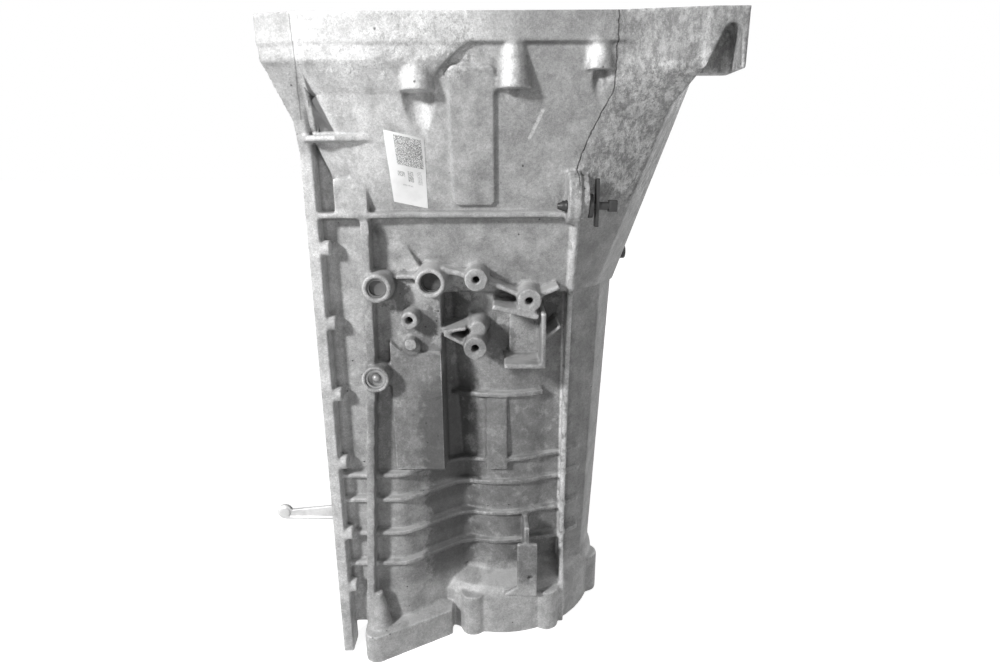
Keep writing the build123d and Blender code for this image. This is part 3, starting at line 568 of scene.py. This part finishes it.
def tag_paper():
    """White paper with plain speckled grey fields of print, laid out along the tag's own edges."""
    w = Wires("paper")
    x, _, z = w.xyz()
    (ax, az), (dx, dz) = TAG_ACROSS, TAG_DOWN
    area = ax * dz - az * dx
    from_x = w.minus(x, TAG_CORNER[0])
    from_z = w.minus(z, TAG_CORNER[1])
    across = w.minus(w.times(from_x, dz / area), w.times(from_z, dx / area))
    down = w.minus(w.times(from_z, ax / area), w.times(from_x, az / area))
    base = w.mix(w.ramp(w.noise(90.0, 3.0), 0.4, 0.7), grey(0.92), grey(0.86))
    speckle = w.ramp(w.noise(1500.0, 1.0, 0.4), 0.44, 0.52)
    for left, right, top, bottom, strength in TAG_FIELDS:
        inside = w.times(
            w.ramp(across, left, left + FIELD_SOFT_ACROSS),
            w.ramp(across, right, right - FIELD_SOFT_ACROSS),
            w.ramp(down, top, top + FIELD_SOFT_DOWN),
            w.ramp(down, bottom, bottom - FIELD_SOFT_DOWN),
        )
        base = w.tint(base, 0.05, inside, speckle, strength)
    w.shade("Base Color", base)
    w.shade("Roughness", 0.6)
    w.shade("Normal", w.bump(w.noise(900.0, 2.0), 0.15, 0.0002))
    return w.material


def welded_copy(node, name):
    """A new object with a copy of a CAD node's mesh, its doubled vertices welded."""
    piece = bpy.data.objects.new(name, nodes[node].data.copy())
    scene.collection.objects.link(piece)
    piece.data.materials.clear()
    work = bmesh.new()
    work.from_mesh(piece.data)
    bmesh.ops.remove_doubles(work, verts=work.verts, dist=WELD_DISTANCE)
    work.to_mesh(piece.data)
    work.free()
    return piece


def settle(piece):
    """Applies the modifiers of a piece to its mesh."""
    graph = bpy.context.evaluated_depsgraph_get()
    mesh = bpy.data.meshes.new_from_object(piece.evaluated_get(graph))
    old = piece.data
    piece.modifiers.clear()
    piece.data = mesh
    bpy.data.meshes.remove(old)


def smooth_by_angle(piece, degrees):
    """Smooth shading, with edges left sharp where their faces turn by the angle or more."""
    work = bmesh.new()
    work.from_mesh(piece.data)
    for edge in work.edges:
        edge.smooth = edge.calc_face_angle(0.0) < math.radians(degrees)
    for face in work.faces:
        face.smooth = True
    work.to_mesh(piece.data)
    work.free()


def softened(node, name, voxel, rounds, budget):
    """The node's mesh with the rounded edges and inner corners of a casting."""
    piece = welded_copy(node, name)
    remesh = piece.modifiers.new("remesh", "REMESH")
    remesh.mode = "VOXEL"
    remesh.voxel_size = voxel
    smooth = piece.modifiers.new("smooth", "SMOOTH")
    smooth.factor = 0.5
    smooth.iterations = rounds
    settle(piece)
    triangles = 2 * len(piece.data.polygons)
    if triangles > budget:
        thin = piece.modifiers.new("thin", "DECIMATE")
        thin.ratio = budget / triangles
        settle(piece)
    return piece


def bevelled(node, name, width, segments=2):
    """The node's mesh with small bevels on its edges."""
    piece = welded_copy(node, name)
    bevel = piece.modifiers.new("bevel", "BEVEL")
    bevel.width = width
    bevel.segments = segments
    bevel.limit_method = "ANGLE"
    bevel.angle_limit = math.radians(BEVEL_FROM)
    bevel.use_clamp_overlap = True
    settle(piece)
    smooth_by_angle(piece, SMALL_PIECE_SHARP)
    return piece


def vertex_places(piece):
    """The places of a piece's vertices, one row each."""
    places = np.empty(len(piece.data.vertices) * 3)
    piece.data.vertices.foreach_get("co", places)
    return places.reshape(-1, 3)


def move_vertices(piece, places):
    piece.data.vertices.foreach_set("co", places.ravel())
    piece.data.update()


def into_box(piece, node):
    """Keeps the vertices inside the node's own box."""
    low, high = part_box(node)
    move_vertices(piece, np.clip(vertex_places(piece), np.array(low), np.array(high)))


def press_in(places, corners, depth, soft):
    """Moves the near-side vertices inside corners of the X-Z plane inward, with a soft edge."""
    share = np.where(places[:, 1] < NEAR_WALL, 1.0, 0.0)
    for (ax, az), (bx, bz) in zip(corners, corners[1:] + corners[:1]):
        run = math.hypot(bx - ax, bz - az)
        side = ((bx - ax) * (places[:, 2] - az) - (bz - az) * (places[:, 0] - ax)) / run
        share *= np.clip(side / soft, 0.0, 1.0)
    places[:, 1] += depth * share


def finish_piece(piece, node, body, material):
    piece.data.materials.clear()
    piece.data.materials.append(material)
    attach(piece, body)
    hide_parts(node)


def dress_casting():
    """The casting, rounded, with its machined planes flat again and its hollow pressed in."""
    casting = softened("gearbox_case", "casting", *CASTING_MESH)
    low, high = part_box("gearbox_case")
    bell_face, rear_face, pan_face = (2, high.z), (2, low.z), (0, PAN_FACE)
    places = vertex_places(casting)
    for axis, level in (bell_face, rear_face, pan_face):
        on_plane = np.abs(places[:, axis] - level) < PLANE_REACH
        places[on_plane, axis] = level
    press_in(places, HOLLOW, HOLLOW_DEPTH, HOLLOW_SOFT)
    move_vertices(casting, places)
    smooth_by_angle(casting, CASTING_SHARP)
    into_box(casting, "gearbox_case")
    finish_piece(casting, "gearbox_case", "case", cast_metal())


def dress_small_pieces(materials):
    for node, body, slot, material, width in SMALL_PIECES:
        piece = bevelled(node, node + "_look", width)
        into_box(piece, node)
        finish_piece(piece, node, body, materials[material])


def dress_lever(material):
    lever = softened("selector_lever", "selector_lever_look", *LEVER_MESH)
    smooth_by_angle(lever, LEVER_SHARP)
    into_box(lever, "selector_lever")
    finish_piece(lever, "selector_lever", "selector", material)


def dress_tag():
    tag = bevelled("paper_label", "paper_label_look", TAG_BEVEL, 1)
    into_box(tag, "paper_label")
    finish_piece(tag, "paper_label", "case", tag_paper())


def seen_rays(tree):
    """1 for the rays that should find the white background: camera, glossy and transmission."""
    path = tree.nodes.new("ShaderNodeLightPath")
    seen = path.outputs["Is Camera Ray"]
    for ray in ("Is Glossy Ray", "Is Transmission Ray"):
        either = tree.nodes.new("ShaderNodeMath")
        either.operation = "MAXIMUM"
        tree.links.new(seen, either.inputs[0])
        tree.links.new(path.outputs[ray], either.inputs[1])
        seen = either.outputs[0]
    return seen


def plain_floor():
    """A grey floor that is white as the camera sees it, with the object's shadow left in."""
    side = FLOOR_HALF
    corners = [(-side, -side, 0), (side, -side, 0), (side, side, 0), (-side, side, 0)]
    data = bpy.data.meshes.new("floor")
    data.from_pydata(corners, [], [(0, 1, 2, 3)])
    floor = bpy.data.objects.new("floor", data)
    scene.collection.objects.link(floor)
    w = Wires("floor_white")
    w.shade("Base Color", grey(FLOOR_GREY))
    w.shade("Roughness", 0.9)
    w.shade("Specular IOR Level", 0.0)
    away = w.vector("LENGTH", w.coord.outputs["Object"])
    glow = w.node("Emission")
    glow.inputs["Color"].default_value = grey(WHITE)
    w.put(glow.inputs["Strength"], w.ramp(away, SHADOW_NEAR, SHADOW_REACH, FLOOR_GLOW, WHITE))
    bright = w.node("AddShader")
    w.put(bright.inputs[0], w.shader.outputs["BSDF"])
    w.put(bright.inputs[1], glow.outputs["Emission"])
    chosen = w.node("MixShader")
    w.put(chosen.inputs[0], seen_rays(w.tree))
    w.put(chosen.inputs[1], w.shader.outputs["BSDF"])
    w.put(chosen.inputs[2], bright.outputs["Shader"])
    w.put(w.out.inputs["Surface"], chosen.outputs["Shader"])
    data.materials.append(w.material)


def white_world():
    """A weak soft light, and white for the rays that should find the background."""
    world = bpy.data.worlds.new("studio")
    scene.world = world
    world.use_nodes = True
    tree = world.node_tree
    tree.nodes.clear()
    out = tree.nodes.new("ShaderNodeOutputWorld")
    chosen = tree.nodes.new("ShaderNodeMixShader")
    tree.links.new(seen_rays(tree), chosen.inputs[0])
    for number, strength in ((1, WORLD_LIGHT), (2, WHITE)):
        sky = tree.nodes.new("ShaderNodeBackground")
        sky.inputs["Color"].default_value = grey(WHITE)
        sky.inputs["Strength"].default_value = strength
        tree.links.new(sky.outputs["Background"], chosen.inputs[number])
    tree.links.new(chosen.outputs["Shader"], out.inputs["Surface"])


def area_light(name, place, target_height, side, power):
    data = bpy.data.lights.new(name, "AREA")
    data.shape = "SQUARE"
    data.size = side
    data.energy = power
    lamp = bpy.data.objects.new(name, data)
    scene.collection.objects.link(lamp)
    lamp.location = place
    beam = Vector((0, 0, target_height)) - Vector(place)
    lamp.rotation_euler = beam.to_track_quat("-Z", "Y").to_euler()


def photo_camera():
    lens = bpy.data.cameras.new("camera")
    lens.sensor_fit = "HORIZONTAL"
    lens.sensor_width = SENSOR_MILLIMETRES
    lens.lens = SENSOR_MILLIMETRES * FOCAL_PIXELS / PHOTO_WIDTH
    lens.clip_start = NEAREST_SEEN
    lens.clip_end = FARTHEST_SEEN
    camera = bpy.data.objects.new("camera", lens)
    scene.collection.objects.link(camera)
    camera.matrix_world = (
        Matrix.Translation(EYE)
        @ Matrix.Rotation(math.pi / 2 - PITCH_DOWN, 4, "X")
        @ Matrix.Rotation(-ROLL, 4, "Z")
    )
    scene.camera = camera
    scene.view_settings.view_transform = "Standard"


dress_casting()
fitted = fitted_materials()
dress_small_pieces(fitted)
dress_lever(fitted["lever_steel"])
dress_tag()
plain_floor()
white_world()
for lamp_settings in LAMPS:
    area_light(*lamp_settings)
photo_camera()
